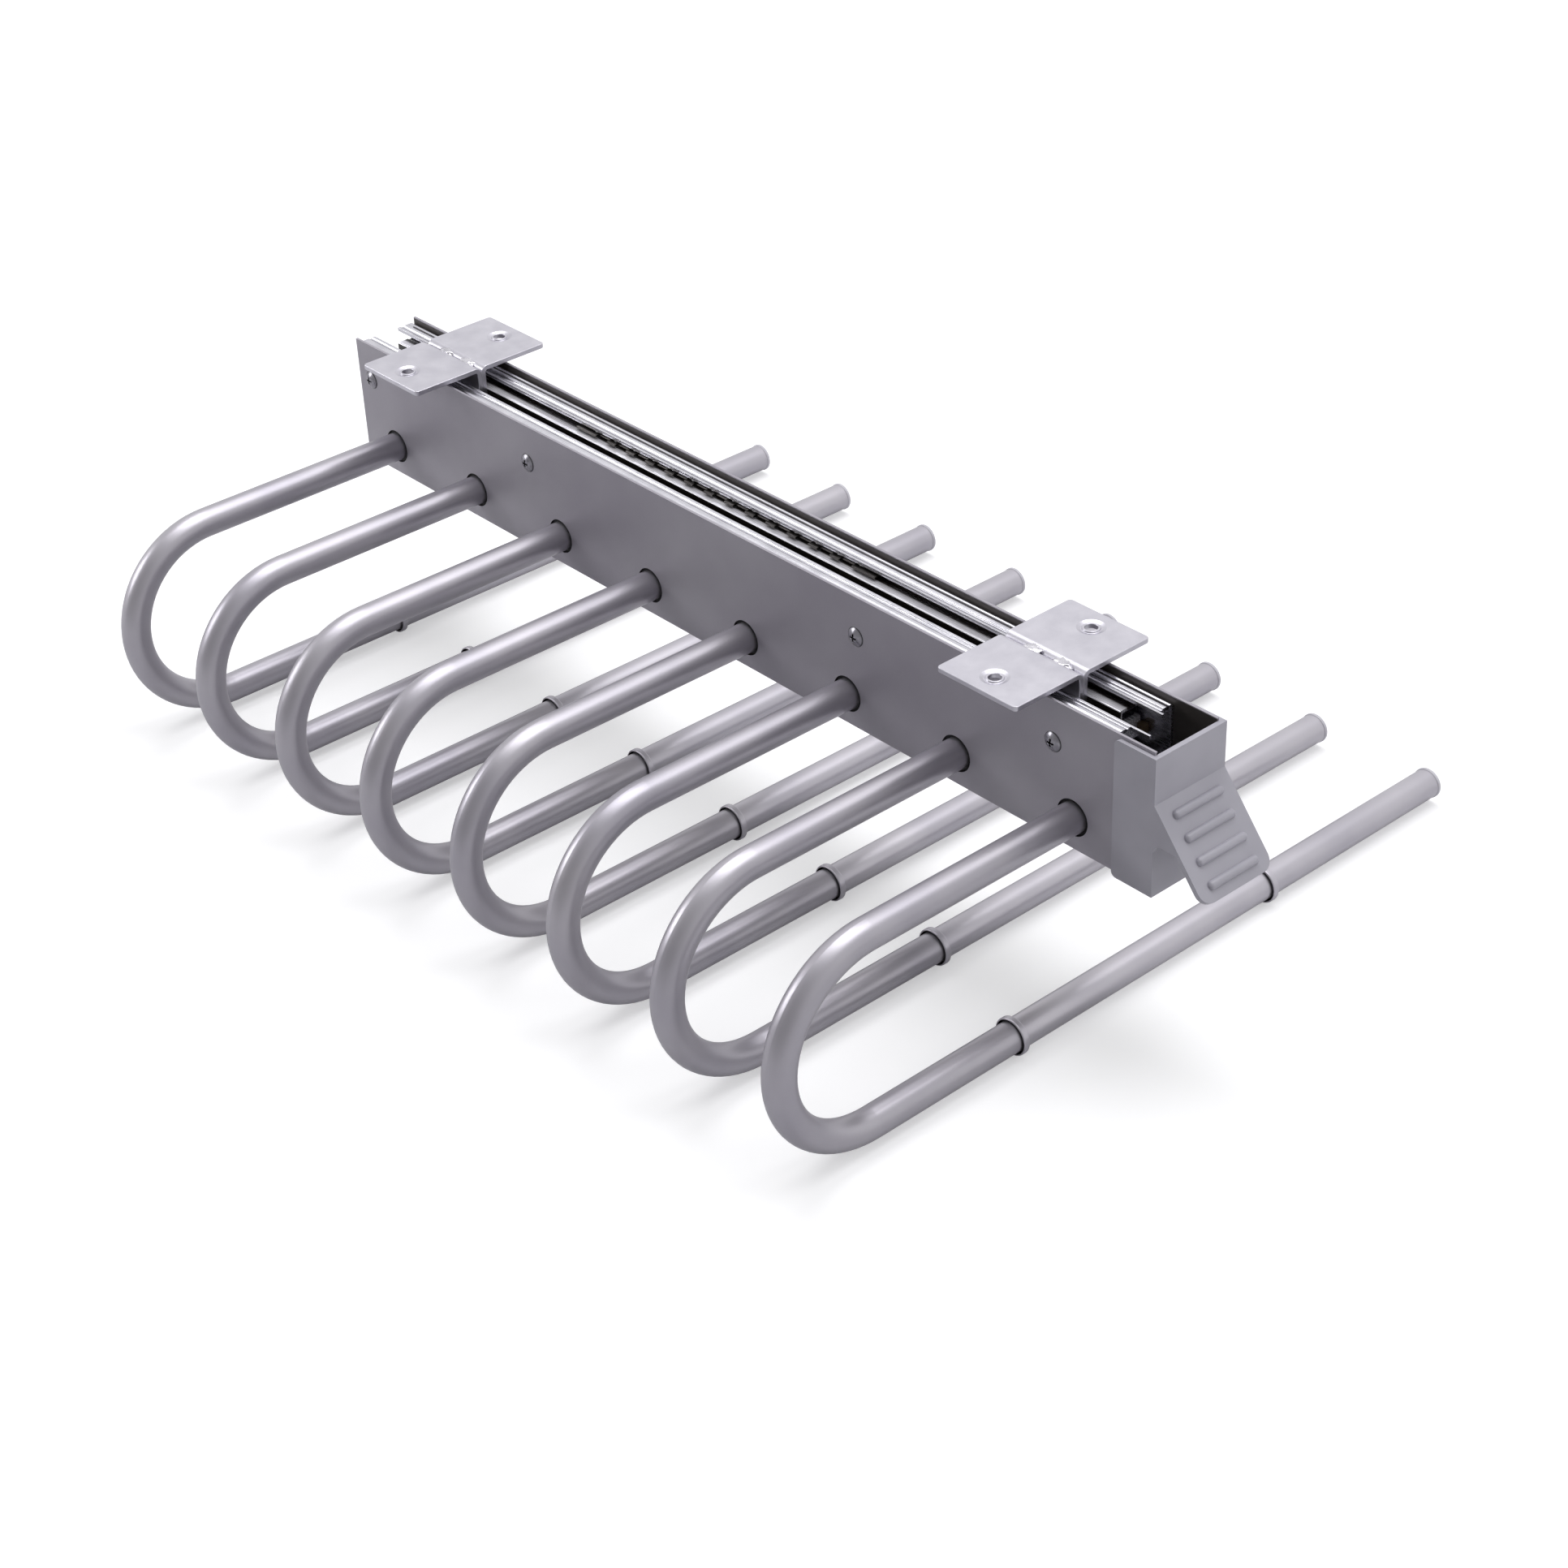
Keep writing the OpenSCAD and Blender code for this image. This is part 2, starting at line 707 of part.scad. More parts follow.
// The tube's end reaches into the near sleeve's mouth, and the neck runs on to the end plug
module arm(index) {
    bore_d = tube_d - 2 * tube_wall;
    shoulder_x = near_mouth_x(index) + mouth_depth - mouth_gap;
    neck_end = lower_leg_reach - plug_lip - slip;
    color("#9a979e")
    difference() {
        union() {
            on_leg(index, upper_leg_z, -bend_reach) cylinder(d = tube_d, h = bend_reach + inner_x - slip);
            translate([-bend_reach, arm_y(index), upper_leg_z - bend_radius]) bend_arc();
            on_leg(index, lower_leg_z, -bend_reach) cylinder(d = tube_d, h = bend_reach + shoulder_x);
            on_leg(index, lower_leg_z, shoulder_x - over)
                cylinder(d = neck_d, h = neck_end - shoulder_x + over);
        }
        on_leg(index, upper_leg_z, -bend_reach) cylinder(d = bore_d, h = bend_reach + inner_x + over);
        translate([-bend_reach, arm_y(index), upper_leg_z - bend_radius]) bend_arc_bore();
        on_leg(index, lower_leg_z, -bend_reach)
            cylinder(d = bore_d, h = bend_reach + shoulder_x - shoulder_wall);
        on_leg(index, lower_leg_z, shoulder_x - shoulder_wall - over)
            cylinder(d = neck_d - 2 * neck_wall, h = neck_end - shoulder_x + shoulder_wall + 2 * over);
    }
}

// Half section of a sleeve along its axis, mouth at zero
module sleeve_outline(length) {
    inner_r = neck_d / 2 + slip;
    difference() {
        union() {
            translate([inner_r, mouth_depth]) square([sleeve_d / 2 - inner_r, length - mouth_depth]);
            rounded_rect([inner_r, 0], [rim_d / 2, mouth_depth + mouth_base], rim_round);
        }
        translate([0, -over]) square([mouth_d / 2, mouth_depth + over]);
    }
}

module near_sleeve(index) {
    mouth_x = near_mouth_x(index);
    color("#a3a0a7")
    on_leg(index, lower_leg_z, mouth_x)
        rotate_extrude() sleeve_outline(far_mouth + mouth_depth - mouth_gap - mouth_x);
}

module far_sleeve(index) {
    color("#a8a5ac")
    on_leg(index, lower_leg_z, far_mouth)
        rotate_extrude() sleeve_outline(lower_leg_reach - plug_lip - far_mouth);
}

module end_plug(index) {
    stem_d = neck_d - 2 * neck_wall - 2 * fit;
    color("#aaa8ae")
    on_leg(index, lower_leg_z, lower_leg_reach - plug_lip - plug_stem) {
        cylinder(d = stem_d, h = plug_stem + over);
        translate([0, 0, plug_stem]) rotate_extrude() intersection() {
            rounded_rect([-plug_d / 2, 0], [plug_d / 2, plug_lip], plug_round);
            square(plug_d);
        }
    }
}

module arm_bushes() {
    color("#1c1b1d")
    for (index = [1 : arm_count])
        translate([0, arm_y(index), upper_leg_z])
            difference() {
                union() {
                    rod_x(arm_hole_d - 2 * fit, -outer_x + bush_recess, -inner_x + over);
                    rod_x(bush_flange_d, -inner_x, -inner_x + bush_flange_h);
                }
                rod_x(tube_d + 2 * slip, -outer_x - over, bush_flange_h - inner_x + over);
            }
}

// Threaded inserts in the tubes' ends, against the right wall
module arm_inserts() {
    color("#b9a15a")
    for (index = [1 : arm_count])
        translate([0, arm_y(index), upper_leg_z])
            difference() {
                rod_x(tube_d - 2 * tube_wall - 2 * fit, inner_x - slip - insert_length, inner_x - slip);
                rod_x(arm_screw_d + 2 * fit, inner_x - slip - insert_length - over, inner_x + over);
            }
}

module arm_screws() {
    color("#b4b2b9")
    for (index = [1 : arm_count])
        translate([0, arm_y(index), upper_leg_z])
            difference() {
                union() {
                    rod_x(arm_screw_d, inner_x - insert_length + arm_screw_end, outer_x + over);
                    translate([outer_x, 0, 0]) rotate([0, 90, 0])
                        cylinder(d1 = arm_screw_head_d, d2 = arm_screw_head_d - head_taper,
                            h = arm_screw_head_h);
                }
                translate([outer_x + arm_screw_head_h / 2, 0, 0]) rotate([0, 90, 0])
                    cylinder(d = arm_socket_d, h = arm_screw_head_h, $fn = 6);
            }
}

bracket(-1, bracket_y);  // rear_bracket_left
bracket(1, bracket_y);  // rear_bracket_right
bracket(-1, -bracket_y);  // front_bracket_left
bracket(1, -bracket_y);  // front_bracket_right
bracket_welds();
fixed_rail(-1);  // fixed_rail_left
fixed_rail(1);  // fixed_rail_right
rail_rivets();
channel();
end_cap();
cap_screw();
moving_rail(-1);  // moving_rail_left
moving_rail(1);  // moving_rail_right
wall_screws(-1);  // wall_screws_left
wall_screws(1);  // wall_screws_right
rail_bumpers();
ball_cage(-1);  // ball_cage_left
balls(-1);  // balls_left
ball_cage(1);  // ball_cage_right
balls(1);  // balls_right
arm(1);  // arm_1
arm(2);  // arm_2
arm(3);  // arm_3
arm(4);  // arm_4
arm(5);  // arm_5
arm(6);  // arm_6
arm(7);  // arm_7
arm(8);  // arm_8
near_sleeve(1);  // near_sleeve_1
near_sleeve(2);  // near_sleeve_2
near_sleeve(3);  // near_sleeve_3
near_sleeve(4);  // near_sleeve_4
near_sleeve(5);  // near_sleeve_5
near_sleeve(6);  // near_sleeve_6
near_sleeve(7);  // near_sleeve_7
near_sleeve(8);  // near_sleeve_8
far_sleeve(1);  // far_sleeve_1
far_sleeve(2);  // far_sleeve_2
far_sleeve(3);  // far_sleeve_3
far_sleeve(4);  // far_sleeve_4
far_sleeve(5);  // far_sleeve_5
far_sleeve(6);  // far_sleeve_6
far_sleeve(7);  // far_sleeve_7
far_sleeve(8);  // far_sleeve_8
end_plug(1);  // end_plug_1
end_plug(2);  // end_plug_2
end_plug(3);  // end_plug_3
end_plug(4);  // end_plug_4
end_plug(5);  // end_plug_5
end_plug(6);  // end_plug_6
end_plug(7);  // end_plug_7
end_plug(8);  // end_plug_8
arm_bushes();
arm_inserts();
arm_screws();
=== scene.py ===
import json
import math

import bmesh
import bpy
from mathutils import Matrix, Vector, noise


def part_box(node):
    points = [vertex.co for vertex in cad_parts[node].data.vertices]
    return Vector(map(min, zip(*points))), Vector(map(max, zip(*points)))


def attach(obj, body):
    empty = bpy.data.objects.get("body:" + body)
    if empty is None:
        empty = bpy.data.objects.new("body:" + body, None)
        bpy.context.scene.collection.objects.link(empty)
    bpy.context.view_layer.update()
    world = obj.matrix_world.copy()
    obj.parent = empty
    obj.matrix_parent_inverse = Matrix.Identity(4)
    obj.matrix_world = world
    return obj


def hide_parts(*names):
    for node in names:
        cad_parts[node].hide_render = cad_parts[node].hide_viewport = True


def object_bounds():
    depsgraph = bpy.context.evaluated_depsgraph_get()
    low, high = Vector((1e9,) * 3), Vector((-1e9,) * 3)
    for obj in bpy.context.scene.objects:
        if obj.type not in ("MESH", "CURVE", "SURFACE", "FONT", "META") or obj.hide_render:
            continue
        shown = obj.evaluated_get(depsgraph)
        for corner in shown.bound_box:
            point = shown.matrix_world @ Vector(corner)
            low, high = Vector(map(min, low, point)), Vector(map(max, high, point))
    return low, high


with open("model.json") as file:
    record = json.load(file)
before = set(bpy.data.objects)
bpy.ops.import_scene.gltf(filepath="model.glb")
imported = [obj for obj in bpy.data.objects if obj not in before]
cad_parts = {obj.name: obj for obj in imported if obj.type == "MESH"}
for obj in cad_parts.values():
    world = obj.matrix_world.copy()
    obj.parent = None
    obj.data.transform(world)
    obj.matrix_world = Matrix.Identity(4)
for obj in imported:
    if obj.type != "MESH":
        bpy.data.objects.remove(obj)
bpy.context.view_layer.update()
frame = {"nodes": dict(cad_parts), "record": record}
nodes = frame["nodes"]
mm = 0.001
print("frame loaded:", len(nodes), "nodes")


# Colours and nodes

def toLinear(hexColour):
    channels = [int(hexColour[i:i + 2], 16) / 255 for i in (1, 3, 5)]
    return [c / 12.92 if c <= 0.04045 else ((c + 0.055) / 1.055) ** 2.4 for c in channels] + [1.0]


def addNode(tree, kind, settings=None, links=None):
    # Settings go to the inputs or properties of those names; a node linked whole gives its first output
    node = tree.nodes.new("ShaderNode" + kind)
    for name, value in (settings or {}).items():
        if name in node.inputs.keys() or isinstance(name, int):
            node.inputs[name].default_value = value
        else:
            setattr(node, name, value)
    for name, source in (links or {}).items():
        socket = source.outputs[0] if isinstance(source, bpy.types.Node) else source
        tree.links.new(socket, node.inputs[name])
    return node


def middleOf(nodeName):
    return [(low + high) / 2 for low, high in zip(*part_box(nodeName))]


# Finishes: each has two tones in soft patches, and a grain that varies the gloss and stands up a little.
# Their patterns are in real millimetres on the rack.

noiseSpan = (0.3, 0.7)  # nearly all the values of a noise lie between these


def makeFinish(name, values):
    material = bpy.data.materials.new(name)
    material.use_nodes = True
    tree = material.node_tree
    tree.nodes.clear()
    where = addNode(tree, "TexCoord")
    place = addNode(tree, "Mapping", {"name": "place", "Scale": (1 / mm, 1 / mm, 1 / mm)},
                    {"Vector": where.outputs["Object"]})
    drawn = place
    if "stretch" in values:
        drawn = addNode(tree, "Mapping", {"Scale": values["stretch"]}, {"Vector": place})
    grain = addNode(tree, "TexNoise", {"Scale": 1 / values["grainMm"], "Detail": values["grainDetail"]},
                    {"Vector": drawn})
    patches = grain
    if "patchMm" in values:
        patches = addNode(tree, "TexNoise", {"Scale": 1 / values["patchMm"], "Detail": values["patchDetail"]},
                          {"Vector": place})
    fromTone, toTone = values.get("toneSpan", noiseSpan)
    tone = addNode(tree, "MapRange", {"From Min": fromTone, "From Max": toTone}, {"Value": patches})
    dark, light = toLinear(values["dark"]), toLinear(values["light"])
    colour = addNode(tree, "Mix", {"data_type": "RGBA", 6: dark, 7: light}, {0: tone})
    smooth, rough = values["roughness"]
    gloss = addNode(tree, "MapRange", {"From Min": noiseSpan[0], "From Max": noiseSpan[1],
                                       "To Min": smooth, "To Max": rough}, {"Value": grain})
    shader = addNode(tree, "BsdfPrincipled", {"name": "shader", **values["shader"]},
                     {"Base Color": colour.outputs[2], "Roughness": gloss})
    if "grainDepthMm" in values:
        depth, strength = values["grainDepthMm"] * mm, values["grainStrength"]
        raised = addNode(tree, "Bump", {"Distance": depth, "Strength": strength}, {"Height": grain})
        tree.links.new(raised.outputs[0], shader.inputs["Normal"])
    addNode(tree, "OutputMaterial", links={"Surface": shader})
    return material


def coverWith(material, mask, colour, metallic=None):
    # Another colour, and another metallic value if one is given, wherever the mask is 1
    tree = material.node_tree
    shader = tree.nodes["shader"]
    under = shader.inputs["Base Color"].links[0].from_socket
    covered = addNode(tree, "Mix", {"data_type": "RGBA", 7: toLinear(colour)}, {0: mask, 6: under})
    tree.links.new(covered.outputs[2], shader.inputs["Base Color"])
    if metallic is not None:
        bare = shader.inputs["Metallic"].default_value
        changed = addNode(tree, "MapRange", {"To Min": bare, "To Max": metallic}, {"Value": mask})
        tree.links.new(changed.outputs[0], shader.inputs["Metallic"])


def awayFromLegs(tree, place, frontNode):
    # Millimetres across from the nearest of the eight legs that lie in line with this node of the front arm
    axisY, axisZ = middleOf("near_sleeve_8")[1] / mm, middleOf(frontNode)[2] / mm
    pitch = middleOf("near_sleeve_7")[1] / mm - axisY
    parts = addNode(tree, "SeparateXYZ", links={0: place})
    along = addNode(tree, "Math", {"operation": "SUBTRACT", 1: axisY}, {0: parts.outputs["Y"]})
    aside = addNode(tree, "Math", {"operation": "WRAP", 1: pitch / 2, 2: -pitch / 2}, {0: along})
    up = addNode(tree, "Math", {"operation": "SUBTRACT", 1: axisZ}, {0: parts.outputs["Z"]})
    return addNode(tree, "CombineXYZ", links={1: aside, 2: up})


# Folded steel in a satin metallic powder coat: an even grey sheen with a very fine orange peel.
# Painted shade darkens the inside, and painted shade turns the walls of the arms' holes black.
coatedSteel = {
    "light": "#A19EA6", "dark": "#938F99", "patchMm": 60, "patchDetail": 3,
    "grainMm": 0.7, "grainDetail": 2, "grainDepthMm": 0.015, "grainStrength": 0.6,
    "roughness": (0.44, 0.52), "shader": {"Metallic": 0.4},
    # the inside's dark grey and the holes' black are painted shade
    "inside": "#45413F", "insideHalfWidthMm": 14.9, "insideTopMm": -4.4,
    "holeWall": "#050505", "holeRadiusMm": 7.18,
}


def makeCoatedSteel():
    material = makeFinish("powderCoatedSteel", coatedSteel)
    tree = material.node_tree
    place = tree.nodes["place"]
    parts = addNode(tree, "SeparateXYZ", links={0: place})
    across = addNode(tree, "Math", {"operation": "ABSOLUTE"}, {0: parts.outputs["X"]})
    within = addNode(tree, "Math", {"operation": "LESS_THAN", 1: coatedSteel["insideHalfWidthMm"]},
                     {0: across})
    below = addNode(tree, "Math", {"operation": "LESS_THAN", 1: coatedSteel["insideTopMm"]},
                    {0: parts.outputs["Z"]})
    inside = addNode(tree, "Math", {"operation": "MULTIPLY"}, {0: within, 1: below})
    # painted shade on the channel's inside faces
    coverWith(material, inside, coatedSteel["inside"])
    away = awayFromLegs(tree, place, "arm_bushes")
    radius = addNode(tree, "VectorMath", {"operation": "LENGTH"}, {0: away})
    holes = addNode(tree, "Math", {"operation": "LESS_THAN", 1: coatedSteel["holeRadiusMm"]},
                    {0: radius.outputs["Value"]})
    # painted shade: the walls of the arms' holes are drawn black
    coverWith(material, holes, coatedSteel["holeWall"])
    return material


# Steel tube in silver lacquer: aluminium flakes give broad soft highlights with a faint sparkle.
# Real flakes are far finer; these are drawn as coarse as they need to be to show.
silverTube = {
    "light": "#ADAAB1", "dark": "#A09DA6", "patchMm": 35, "patchDetail": 3,
    "grainMm": 0.5, "grainDetail": 2, "grainDepthMm": 0.012, "grainStrength": 0.5,
    "roughness": (0.35, 0.43), "shader": {"Metallic": 0.85},
}

silverSleeve = {  # the sleeves' lacquer is a little lighter, and painted shade darkens their mouths
    **silverTube,
    "light": "#BBB8BF", "dark": "#AEABB4", "roughness": (0.33, 0.41),
    "mouthRadiusMm": 6.87, "mouthInward": 0.6, "mouthShade": "#0E0D0F", "mouthMetallic": 0,
}


def makeSilverSleeve():
    material = makeFinish("silverLacqueredSleeve", silverSleeve)
    tree = material.node_tree
    outward = awayFromLegs(tree, tree.nodes["place"], "near_sleeve_8")
    face = addNode(tree, "NewGeometry")
    turned = addNode(tree, "VectorMath", {"operation": "DOT_PRODUCT"},
                     {0: outward, 1: face.outputs["Normal"]})
    # The faces that look towards the leg, or along it as the mouth's floor does
    inward = addNode(tree, "Math", {"operation": "LESS_THAN", 1: silverSleeve["mouthInward"]},
                     {0: turned.outputs["Value"]})
    radius = addNode(tree, "VectorMath", {"operation": "LENGTH"}, {0: outward})
    near = addNode(tree, "Math", {"operation": "LESS_THAN", 1: silverSleeve["mouthRadiusMm"]},
                   {0: radius.outputs["Value"]})
    mouths = addNode(tree, "Math", {"operation": "MULTIPLY"}, {0: inward, 1: near})
    # painted shade on the faces inside the sleeves' mouths
    coverWith(material, mouths, silverSleeve["mouthShade"], silverSleeve["mouthMetallic"])
    return material


# Injection-moulded ABS in silver grey: a soft plastic gloss over a fine spark-eroded skin.
# The skin is drawn a little coarse, so that it shows.
capAbs = {
    "light": "#A4A2AC", "dark": "#9C9AA4", "patchMm": 18, "patchDetail": 2,
    "grainMm": 0.35, "grainDetail": 2, "grainDepthMm": 0.01, "grainStrength": 0.4,
    "roughness": (0.36, 0.46), "shader": {"IOR": 1.54},
}
plugAbs = {**capAbs, "light": "#C3C1C9", "dark": "#B6B4BD"}

# Zinc-plated steel: bright and slightly cloudy, with the faint marks of the rolled metal under the plating
zincPlate = {
    "light": "#C7C5CD", "dark": "#B9B7C0", "patchMm": 9, "patchDetail": 4,
    "grainMm": 0.5, "grainDetail": 2, "grainDepthMm": 0.008, "grainStrength": 0.5,
    "roughness": (0.34, 0.44), "shader": {"Metallic": 1.0},
}
rivetZinc = {**zincPlate, "light": "#D3D1D9", "dark": "#BFBDC5", "grainMm": 0.4, "roughness": (0.25, 0.35)}

# Bare weld metal: brighter and more uneven than the plates beside it
weldMetal = {**zincPlate, "light": "#E6E4EA", "dark": "#B4B2BA", "grainMm": 0.6, "roughness": (0.15, 0.35)}

# Zinc-plated strip of the ball cages, darkened as painted shade, with rolling lines along the strip
cageStrip = {
    **zincPlate,
    # these dark tones are painted shade
    "light": "#5E5B58", "dark": "#454240", "grainMm": 0.4, "stretch": (1, 0.1, 1), "roughness": (0.30, 0.42),
}

# Cold-rolled slide member, bright zinc: long rolled grooves with fine lines along them.
# The profile is in millimetres from the middle of the rack, with the height of the rolled surface there.
movingRail = {
    "light": "#D6D5DC", "dark": "#C2C1C9", "patchMm": 9, "patchDetail": 4,
    "grainMm": 0.5, "grainDetail": 2, "stretch": (1, 0.02, 1), "grainDepthMm": 0.005, "grainStrength": 0.4,
    "roughness": (0.2, 0.32), "shader": {"Metallic": 1.0},
    "profile": [(6.0, 1.0), (6.8, 0.9), (8.2, 0.15), (9.6, 0.9), (10.4, 1.0), (11.8, 0.5), (13.2, 1.0)],
    "depthMm": 0.6, "spanMm": 16,
}


def makeMovingRail():
    material = makeFinish("brightZincRail", movingRail)
    tree = material.node_tree
    parts = addNode(tree, "SeparateXYZ", links={0: tree.nodes["place"]})
    across = addNode(tree, "Math", {"operation": "ABSOLUTE"}, {0: parts.outputs["X"]})
    shift = addNode(tree, "Math", {"operation": "DIVIDE", 1: movingRail["spanMm"]}, {0: across})
    ramp = addNode(tree, "ValToRGB", links={0: shift})
    ramp.color_ramp.interpolation = "EASE"
    stops = ramp.color_ramp.elements
    first, *between, last = movingRail["profile"]
    for stop, (at, height) in zip(list(stops), (first, last)):
        stop.position = at / movingRail["spanMm"]
        stop.color = (height, height, height, 1)
    for at, height in between:
        stops.new(at / movingRail["spanMm"]).color = (height, height, height, 1)
    rolled = addNode(tree, "Bump", {"Distance": movingRail["depthMm"] * mm, "Strength": 1}, {"Height": ramp})
    lines = tree.nodes["shader"].inputs["Normal"].links[0].from_node
    tree.links.new(rolled.outputs[0], lines.inputs["Normal"])
    return material


# The fixed slide member, of the same strip but drawn lighter as painted light: painted shade, dark brown,
# lies in its ball tracks and between the rails' backs
fixedRail = {
    **movingRail,
    # drawn lighter than the moving member's zinc, as painted light
    "light": "#E4E3E9", "dark": "#D3D1D8",
    "grainDepthMm": 0.008, "grainStrength": 0.5, "shader": {"Metallic": 0.5},
    "shadeFromMm": 5.0, "shadeFullMm": 5.8,  # the ball tracks lie outside this half width,
    "middleMm": -19.9, "trackMm": 8.8,  # and this far above and below the rails' middle
    "backMm": 2.6, "unshadedAboveMm": -10.5,  # the rails' backs face each other inside these two
    "grease": "#26221F", "railShadeMetallic": 0.1,
}


def makeFixedRail():
    material = makeFinish("zincRailWithPaintedShade", fixedRail)
    tree = material.node_tree
    parts = addNode(tree, "SeparateXYZ", links={0: tree.nodes["place"]})
    across = addNode(tree, "Math", {"operation": "ABSOLUTE"}, {0: parts.outputs["X"]})
    far = addNode(tree, "MapRange", {"From Min": fixedRail["shadeFromMm"],
                                     "From Max": fixedRail["shadeFullMm"]}, {"Value": across})
    above = addNode(tree, "Math", {"operation": "SUBTRACT", 1: fixedRail["middleMm"]},
                    {0: parts.outputs["Z"]})
    offset = addNode(tree, "Math", {"operation": "ABSOLUTE"}, {0: above})
    outer = addNode(tree, "Math", {"operation": "GREATER_THAN", 1: fixedRail["trackMm"]}, {0: offset})
    tracks = addNode(tree, "Math", {"operation": "MULTIPLY"}, {0: far, 1: outer})
    near = addNode(tree, "Math", {"operation": "LESS_THAN", 1: fixedRail["backMm"]}, {0: across})
    deep = addNode(tree, "Math", {"operation": "LESS_THAN", 1: fixedRail["unshadedAboveMm"]},
                   {0: parts.outputs["Z"]})
    backs = addNode(tree, "Math", {"operation": "MULTIPLY"}, {0: near, 1: deep})
    grease = addNode(tree, "Math", {"operation": "MAXIMUM"}, {0: tracks, 1: backs})
    # painted shade, dark brown, over the ball tracks and between the rails' backs
    coverWith(material, grease, fixedRail["grease"], fixedRail["railShadeMetallic"])
    return material


# Zinc-plated screws: grey and bright, with black painted shade in the cross recess and where the head sits
screwHead = {
    "light": "#9B99A0", "dark": "#87858D", "grainMm": 3, "grainDetail": 3,
    "roughness": (0.24, 0.34), "shader": {"Metallic": 1.0},
    "recessRadiusMm": 1.9, "recessDepthMm": 0.5,
    "recessWall": 0.5,  # the recess's walls look less than this along the screw
    "apartMm": 5,  # more than this from one point to the next leads to the next screw
    "seatFromMm": 15.4, "seatToMm": 15.6, "seatCleanMm": 15.95,  # from the middle of the rack out
    "grime": "#17161A", "paintedShadeMetallic": 0.1,
}


def makeScrewZinc():
    material = makeFinish("greyZincScrew", screwHead)
    tree = material.node_tree
    parts = addNode(tree, "SeparateXYZ", links={0: tree.nodes["place"]})
    across = addNode(tree, "Math", {"operation": "ABSOLUTE"}, {0: parts.outputs["X"]})
    low = addNode(tree, "MapRange", {"From Min": screwHead["seatToMm"], "From Max": screwHead["seatCleanMm"],
                                     "To Min": 1, "To Max": 0}, {"Value": across})
    outside = addNode(tree, "Math", {"operation": "GREATER_THAN", 1: screwHead["seatFromMm"]}, {0: across})
    seat = addNode(tree, "Math", {"operation": "MULTIPLY"}, {0: low, 1: outside})
    marked = addNode(tree, "Attribute", {"attribute_name": "grime"})
    grime = addNode(tree, "Math", {"operation": "MAXIMUM"}, {0: seat, 1: marked.outputs["Fac"]})
    # painted shade in the cross recesses and round the seats of the heads
    coverWith(material, grime, screwHead["grime"], screwHead["paintedShadeMetallic"])
    return material


# Hardened steel balls: polished, with a thin film of grease
ballSteel = {
    "light": "#EDEDF0", "dark": "#D9D9DE", "toneSpan": (0, 1), "grainMm": 1.2, "grainDetail": 2,
    "roughness": (0.08, 0.2), "shader": {"Metallic": 1.0},
}

# Moulded nylon: near black, dull, slightly uneven
blackNylon = {
    "light": "#100F11", "dark": "#070708", "toneSpan": (0, 1),
    "grainMm": 0.6, "grainDetail": 2, "grainDepthMm": 0.02, "grainStrength": 0.5,
    "roughness": (0.45, 0.6), "shader": {"IOR": 1.53, "Specular IOR Level": 0.15},
}

# Soft moulded stop: brown thermoplastic rubber, matt
brownRubber = {
    "light": "#54422A", "dark": "#3A2C1A", "toneSpan": (0, 1),
    "grainMm": 0.8, "grainDetail": 3, "grainDepthMm": 0.03, "grainStrength": 0.5,
    "roughness": (0.55, 0.7), "shader": {"IOR": 1.5},
}

# Turned brass: warm, with fine turning marks round the axis
turnedBrass = {
    "light": "#C9B067", "dark": "#A98F48", "toneSpan": (0, 1),
    "grainMm": 0.4, "grainDetail": 1, "stretch": (1, 0.05, 0.05),
    "roughness": (0.25, 0.4), "shader": {"Metallic": 1.0},
}

finishes = {
    "channel": makeCoatedSteel(),
    "arm": makeFinish("silverLacqueredTube", silverTube),
    "sleeve": makeSilverSleeve(),
    "cap": makeFinish("silverGreyAbs", capAbs),
    "plug": makeFinish("silverPlugAbs", plugAbs),
    "bracket": makeFinish("satinZincPlate", zincPlate),
    "rail": makeMovingRail(),
    "fixedRail": makeFixedRail(),
    "rivet": makeFinish("zincRivet", rivetZinc),
    "screw": makeScrewZinc(),
    "weld": makeFinish("weldMetal", weldMetal),
    "cage": makeFinish("shadedCageStrip", cageStrip),
    "ball": makeFinish("polishedBallSteel", ballSteel),
    "bush": makeFinish("blackNylon", blackNylon),
    "bumper": makeFinish("brownRubber", brownRubber),
    "insert": makeFinish("turnedBrass", turnedBrass),
}
nodeSlots = {part["node"]: part["material_slot"] for part in frame["record"]["subparts"]}
bodies = frame["record"]["behaviour"]["bodies"]
nodeBodies = {node: body for body, members in bodies.items() for node in members}
for name, node in nodes.items():
    for slot in node.material_slots:
        slot.material = finishes[nodeSlots[name]]
print("finishes made:", len(finishes))


# Shapes

def addPiece(name, mesh, slotName, bodyName, replaced):
    piece = bpy.data.objects.new(name, mesh)
    bpy.context.scene.collection.objects.link(piece)
    mesh.materials.clear()
    shadedRail = name.startswith("fixedRail")  # the fixed rails share the moving ones' slot, not their finish
    mesh.materials.append(finishes["fixedRail" if shadedRail else slotName])
    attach(piece, bodyName)
    if replaced:
        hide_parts(*replaced)
    return piece


edges = {
    "mergeMm": 0.001, "flatDeg": 1,  # the node's loose points and flat faces are joined within these
    "sharpDeg": 18, "bevelDeg": 35, "segments": 2, "flatWeight": 80,
    "radiiMm": {
        "end_cap": 0.6, "channel": 0.2,
        "rear_bracket_left": 0.3, "rear_bracket_right": 0.3,
        "front_bracket_left": 0.3, "front_bracket_right": 0.3,
        "moving_rail_left": 0.2, "moving_rail_right": 0.2, "fixed_rail_left": 0.2, "fixed_rail_right": 0.2,
        "rail_bumpers": 0.4, "wall_screws_left": 0.12, "wall_screws_right": 0.12,
    },
}


